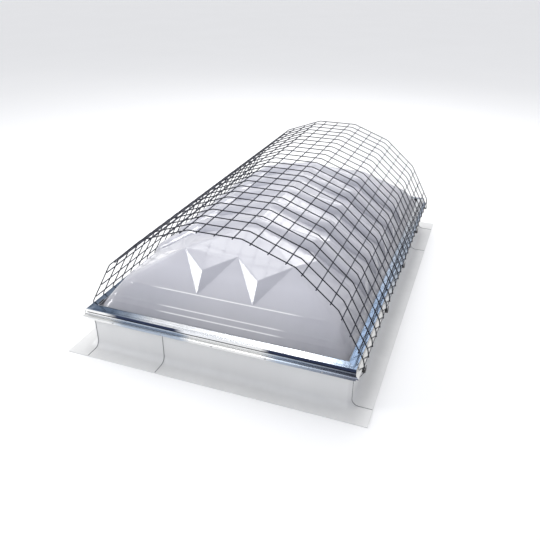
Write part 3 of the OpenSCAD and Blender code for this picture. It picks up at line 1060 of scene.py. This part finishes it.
class SKYLIGHT_OT_clips(bpy.types.Operator):
    """Finish the clips that hold the mesh under the frame, and hook its four corners"""

    bl_idname = "skylight.clips"
    bl_label = "Clips"

    def execute(self, context):
        for node in ("cage_clips_right", "cage_clips_left"):
            repaint(node, "clip")
        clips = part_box("cage_clips_right")
        # in, along and up from the outer end of the last clip, in millimetres
        bends = ((1.2, -4, -6), (1.2, -2, 0.8), (3, 8, 1), (8, 21, -3), (16, 27, -9), (24, 25, -16))
        lines = [
            [
                (i * (clips[1].x - x / 1000), j * (clips[1].y + y / 1000), clips[1].z + z / 1000)
                for x, y, z in bends
            ]
            for i in (-1, 1)
            for j in (-1, 1)
        ]
        obj = bake_tree(
            "corner_hooks",
            polyline_mesh("hook_paths", lines),
            bead_tree(),
            {"Bead width": 0.0024, "Finish": finishes("clip")},
        )
        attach(obj, "root")
        return {"FINISHED"}


def toward(t, direction, way):
    """How far a direction leans toward another, from 0 to 1."""
    dot = add(t, "ShaderNodeVectorMath", {0: direction, 1: way}, operation="DOT_PRODUCT")
    return maths(t, "MULTIPLY_ADD", dot.outputs["Value"], 0.5, 0.5)


class SKYLIGHT_OT_stage(bpy.types.Operator):
    """Set the floor, the light and the camera"""

    bl_idname = "skylight.stage"
    bl_label = "Stage"

    def execute(self, context):
        s = context.scene.skylight_stage
        bm = bmesh.new()
        bmesh.ops.create_grid(bm, x_segments=8, y_segments=8, size=60.0)
        mesh = bpy.data.meshes.new("floor")
        bm.to_mesh(mesh)
        bm.free()
        pale = finish_material(
            "pale_floor", tuple(s.floor), darker(s.floor, 0.985), (0.75, 0.85), scale=0.8, specular=0.2
        )
        floor = piece_from_mesh("floor", mesh, pale)
        floor.location.z = -0.0005
        world = context.scene.world or bpy.data.worlds.new("studio")
        context.scene.world = world
        world.use_nodes = True
        back = world.node_tree.nodes["Background"]
        back.inputs["Strength"].default_value = s.fill
        world.node_tree.links.new(self.surround(world.node_tree), back.inputs["Color"])
        for name, place, aim, size, watts in (
            ("key_light", (-3.2, -1.9, 1.5), (0, -0.3, 0.3), 1.3, s.key),
            ("top_light", (-0.8, 1.0, 4.4), (0, 0, 0.3), 3.0, s.top),
            ("back_light", (-0.2, 3.2, 3.3), (0, 0, 0.3), 2.2, s.back),
        ):
            lamp = bpy.data.lights.new(name, "AREA")
            lamp.shape = "SQUARE"
            lamp.size = size
            lamp.energy = watts
            obj = bpy.data.objects.new(name, lamp)
            context.scene.collection.objects.link(obj)
            obj.location = place
            obj.rotation_euler = (Vector(aim) - Vector(place)).to_track_quat("-Z", "Y").to_euler()
        context.scene.view_settings.view_transform = "Standard"
        self.set_camera(context)
        return {"FINISHED"}

    def surround(self, t):
        """Bright above and behind, with panels in front that streak the metal, and plain where it is seen."""
        way = add(t, "ShaderNodeTexCoord").outputs["Generated"]
        high = (
            (0.0, (0.12, 0.135, 0.20)),
            (0.40, (0.20, 0.215, 0.29)),
            (0.58, (0.48, 0.50, 0.55)),
            (0.78, (0.84, 0.84, 0.85)),
            (1.0, (0.84, 0.84, 0.85)),
        )
        panels = (
            (0.0, (0.8, 0.8, 0.8)),
            (0.20, (0.45, 0.50, 0.58)),
            (0.27, (0.30, 0.38, 0.48)),
            (0.30, (1.5, 1.5, 1.5)),
            (0.355, (1.5, 1.5, 1.5)),
            (0.40, (0.24, 0.26, 0.31)),
            (0.50, (0.38, 0.39, 0.44)),
            (0.62, (0.72, 0.73, 0.75)),
            (0.78, (0.72, 0.73, 0.75)),
            (1.0, (0.24, 0.26, 0.34)),
        )
        turn = {"Value": part_of(t, way, "Y"), "From Min": -0.25, "From Max": -0.45, "To Max": 0.75}
        front = add(t, "ShaderNodeMapRange", turn, interpolation_type="SMOOTHSTEP").outputs["Result"]
        lit = mixed(
            t,
            front,
            ramp(t, toward(t, way, (-0.35, 0.50, 0.79)), high),
            ramp(t, toward(t, way, (1.0, 0.0, 0.0)), panels),
        )
        seen = add(t, "ShaderNodeLightPath").outputs["Is Camera Ray"]
        return mixed(t, seen, lit, (0.93, 0.93, 0.94, 1))

    def set_camera(self, context):
        """A long three-quarter view from the right of the front, at eye height."""
        az, el, roll = math.radians(20.389), math.radians(28.1635), math.radians(0.408)
        ahead = Vector((-math.sin(az) * math.cos(el), math.cos(az) * math.cos(el), -math.sin(el)))
        right = Vector((math.cos(az), math.sin(az), 0))
        up = right.cross(ahead)
        r = right * math.cos(roll) + up * math.sin(roll)
        u = up * math.cos(roll) - right * math.sin(roll)
        data = bpy.data.cameras.new("camera")
        data.sensor_width = 36.0
        data.lens = 39.125
        cam = bpy.data.objects.new("camera", data)
        context.scene.collection.objects.link(cam)
        turn = Matrix((r, u, -ahead)).transposed()
        cam.matrix_world = Matrix.Translation((0.8937, -2.6631, 1.5349)) @ turn.to_4x4()
        context.scene.camera = cam


class SKYLIGHT_PT_panel(bpy.types.Panel):
    """Lists the pieces of the skylight"""

    bl_label = "Roof skylight"
    bl_idname = "SKYLIGHT_PT_panel"
    bl_space_type = "VIEW_3D"
    bl_region_type = "UI"
    bl_category = "Skylight"

    def draw(self, context):
        layout = self.layout
        for settings in ("skylight_dome", "skylight_cage", "skylight_finish", "skylight_stage"):
            group = getattr(context.scene, settings)
            box = layout.box()
            for name in group.__annotations__:
                box.prop(group, name)
        for op in OPERATORS:
            layout.operator(op.bl_idname)


SETTINGS = {
    "skylight_dome": SkylightDomeSettings,
    "skylight_cage": SkylightCageSettings,
    "skylight_finish": SkylightFinishSettings,
    "skylight_stage": SkylightStageSettings,
}
OPERATORS = (
    SKYLIGHT_OT_upstand,
    SKYLIGHT_OT_joints,
    SKYLIGHT_OT_frame_bars,
    SKYLIGHT_OT_screws,
    SKYLIGHT_OT_dome,
    SKYLIGHT_OT_cage,
    SKYLIGHT_OT_clips,
    SKYLIGHT_OT_stage,
)


def register():
    for cls in (*SETTINGS.values(), *OPERATORS, SKYLIGHT_PT_panel):
        bpy.utils.register_class(cls)
    for name, cls in SETTINGS.items():
        setattr(bpy.types.Scene, name, PointerProperty(type=cls))


def unregister():
    for name in SETTINGS:
        delattr(bpy.types.Scene, name)
    for cls in (SKYLIGHT_PT_panel, *reversed(OPERATORS), *reversed(SETTINGS.values())):
        bpy.utils.unregister_class(cls)


def main():
    register()
    bpy.ops.skylight.upstand()
    bpy.ops.skylight.joints()
    bpy.ops.skylight.frame_bars()
    bpy.ops.skylight.screws()
    bpy.ops.skylight.dome()
    bpy.ops.skylight.cage()
    bpy.ops.skylight.clips()
    bpy.ops.skylight.stage()


if __name__ == "__main__":
    main()
